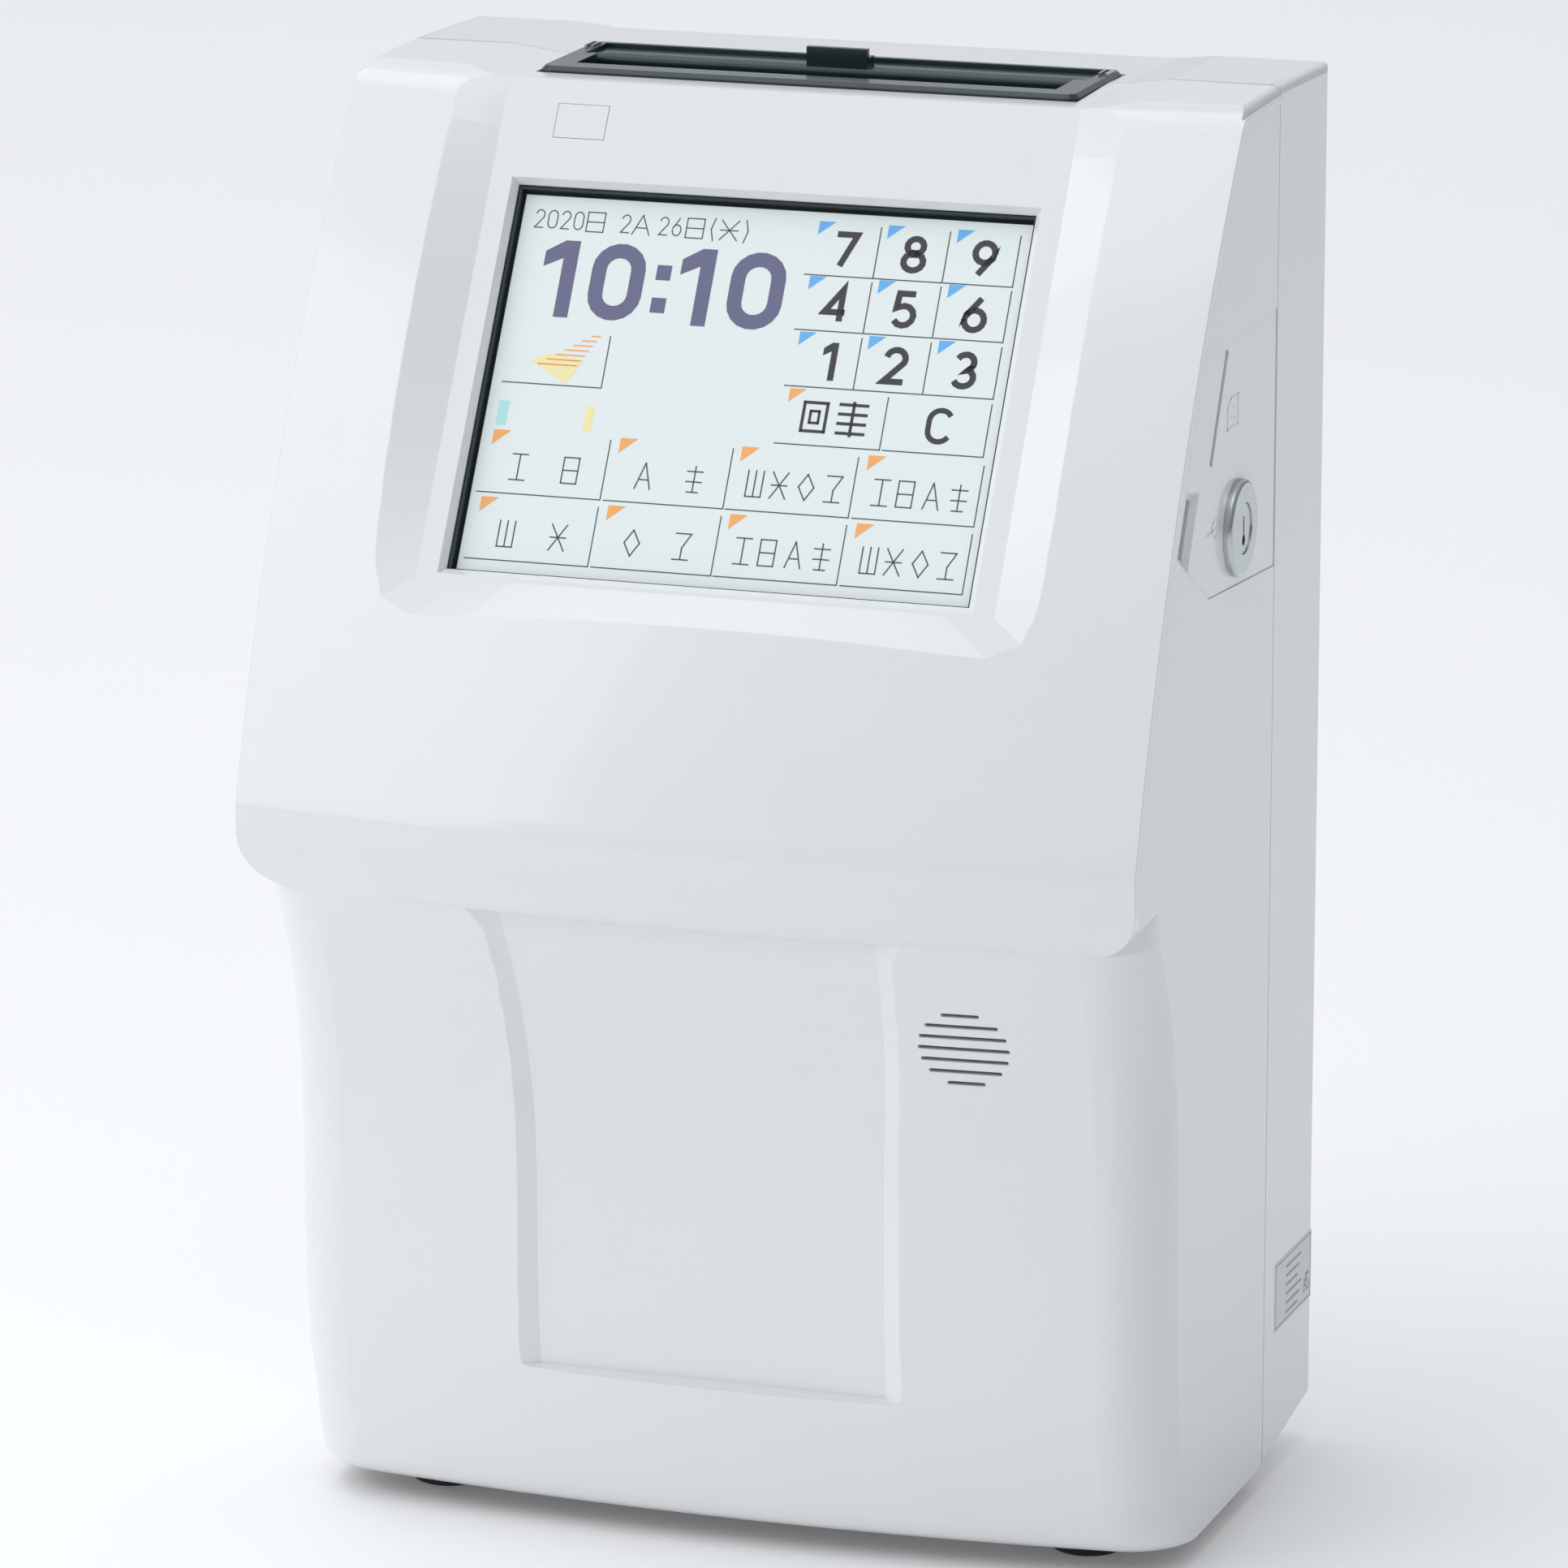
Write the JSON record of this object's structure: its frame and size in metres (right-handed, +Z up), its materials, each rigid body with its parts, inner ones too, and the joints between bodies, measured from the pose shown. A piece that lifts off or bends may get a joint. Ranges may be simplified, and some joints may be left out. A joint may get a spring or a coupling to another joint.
{
  "type": "punch time clock",
  "caption": "Desktop time recorder with a sloping touch screen, a top card slot, a side lock and ports, and a hinged front cover over its card feed and printer.",
  "frame": {"origin": "middle of the box's base, on the surface the clock stands on", "axes": "+Z up, the screen faces -Y, +X to the right seen from the front"},
  "size_m": [0.2033, 0.156, 0.321],
  "materials": {
    "white_shell": "glossy",
    "dark_trim": "satin",
    "foot_rubber": "matte",
    "badge": "satin",
    "label": "matte",
    "touch_glass": "clear",
    "lcd": "backlit",
    "steel_sheet": "zinc plated",
    "steel_bright": "ground",
    "board": "lacquered",
    "black_parts": "matte",
    "socket_metal": "plated",
    "paper_cone": "matte",
    "magnet": "dark",
    "lock_chrome": "satin chrome",
    "bush_brass": "sintered",
    "guide_plastic": "matte",
    "roller_rubber": "matte",
    "pulley_white": "satin",
    "belt_rubber": "matte",
    "motor_can": "zinc plated"
  },
  "bodies": {
    "clock": {"rear_case": "white_shell", "feet": "foot_rubber", "rating_label": "label", "slot_frame": "dark_trim", "flap_clips": "steel_bright", "base_plate": "steel_sheet", "hinge_pins": "steel_bright", "left_side_frame": "steel_sheet", "right_side_frame": "steel_sheet", "bushes": "bush_brass", "front_card_guide": "guide_plastic", "rear_card_guide": "guide_plastic", "platen": "roller_rubber", "platen_beam": "steel_sheet", "feed_motor": "motor_can", "feed_belt": "belt_rubber", "carriage_rails": "steel_bright", "carriage_plate": "steel_sheet", "carriage_motor": "motor_can", "carriage_belt": "belt_rubber", "ribbon_cassette": "black_parts", "lock_keeper": "steel_sheet", "power_unit": "black_parts", "power_inlet": "black_parts"},
    "cover": {"front_cover": "white_shell", "badge_plate": "badge", "window_gasket": "dark_trim", "touch_panel": "touch_glass", "lcd_panel": "lcd", "backlight_case": "steel_sheet", "lcd_bracket": "steel_sheet", "bracket_screws": "steel_bright", "main_board": "board", "board_chips": "black_parts", "side_port_panel": "white_shell", "sd_socket": "socket_metal", "usb_socket": "socket_metal", "speaker_basket": "steel_bright", "speaker_cone": "paper_cone", "speaker_magnet": "magnet", "lock_body": "lock_chrome", "lock_nut": "steel_bright"},
    "lock": {"lock_plug": "lock_chrome", "lock_cam": "steel_bright"},
    "flap": {"slot_flap": "dark_trim"},
    "upper_feed": {"upper_feed_shaft": "steel_bright", "upper_feed_rollers": "roller_rubber", "upper_feed_pulley": "pulley_white", "jam_knob": "guide_plastic"},
    "lower_feed": {"lower_feed_shaft": "steel_bright", "lower_feed_rollers": "roller_rubber", "lower_feed_pulley": "pulley_white"},
    "motor_pulley": {"feed_motor_pulley": "pulley_white"},
    "upper_pinch": {"upper_pinch_roller": "steel_bright"},
    "lower_pinch": {"lower_pinch_roller": "steel_bright"},
    "carriage": {"carriage": "guide_plastic", "print_head": "black_parts"},
    "drive_pulley": {"carriage_drive_pulley": "pulley_white"},
    "idler_pulley": {"carriage_idler_pulley": "pulley_white"},
    "ribbon_drive": {"ribbon_knob": "guide_plastic"}
  },
  "joints": [
    {"name": "cover_hinge", "type": "hinge", "parent": "clock", "child": "cover", "pos_m": [0, -0.031, 0.015], "axis": [1, 0, 0], "range_deg": [0, 50]},
    {"name": "lock_turn", "type": "hinge", "parent": "cover", "child": "lock", "pos_m": [0.09, 0.0065, 0.2265], "axis": [1, 0, 0], "range_deg": [0, 90]},
    {"name": "flap_hinge", "type": "hinge", "parent": "clock", "child": "flap", "pos_m": [0, 0.0356, 0.3154], "axis": [1, 0, 0], "range_deg": [0, 70]},
    {"name": "motor_spin", "type": "hinge", "parent": "clock", "child": "motor_pulley", "pos_m": [0.07, 0.055, 0.15], "axis": [1, 0, 0], "continuous": true},
    {"name": "upper_feed_spin", "type": "hinge", "parent": "clock", "child": "upper_feed", "pos_m": [0, 0.0342, 0.232], "axis": [1, 0, 0], "continuous": true},
    {"name": "lower_feed_spin", "type": "hinge", "parent": "clock", "child": "lower_feed", "pos_m": [0, 0.0342, 0.096], "axis": [1, 0, 0], "continuous": true},
    {"name": "upper_pinch_spin", "type": "hinge", "parent": "clock", "child": "upper_pinch", "pos_m": [0, 0.0208, 0.232], "axis": [1, 0, 0], "continuous": true},
    {"name": "lower_pinch_spin", "type": "hinge", "parent": "clock", "child": "lower_pinch", "pos_m": [0, 0.0208, 0.096], "axis": [1, 0, 0], "continuous": true},
    {"name": "carriage_slide", "type": "slide", "parent": "clock", "child": "carriage", "axis": [1, 0, 0], "range_m": [0, 0.076]},
    {"name": "drive_pulley_spin", "type": "hinge", "parent": "clock", "child": "drive_pulley", "pos_m": [-0.056, -0.024, 0.15], "axis": [0, 1, 0], "range_deg": [-800, 10]},
    {"name": "idler_pulley_spin", "type": "hinge", "parent": "clock", "child": "idler_pulley", "pos_m": [0.056, -0.024, 0.15], "axis": [0, 1, 0], "range_deg": [-800, 10]},
    {"name": "ribbon_knob_spin", "type": "hinge", "parent": "clock", "child": "ribbon_drive", "pos_m": [0.03, -0.008, 0.19], "axis": [0, 0, 1], "continuous": true}
  ],
  "couplings": [
    {"joint": "motor_spin", "follows": "upper_feed_spin", "ratio": 1.5},
    {"joint": "lower_feed_spin", "follows": "upper_feed_spin", "ratio": 1},
    {"joint": "upper_pinch_spin", "follows": "upper_feed_spin", "ratio": -1.1667},
    {"joint": "lower_pinch_spin", "follows": "upper_feed_spin", "ratio": -1.1667},
    {"joint": "drive_pulley_spin", "follows": "carriage_slide", "rad_per_m": -166.67},
    {"joint": "idler_pulley_spin", "follows": "carriage_slide", "rad_per_m": -166.67}
  ]
}
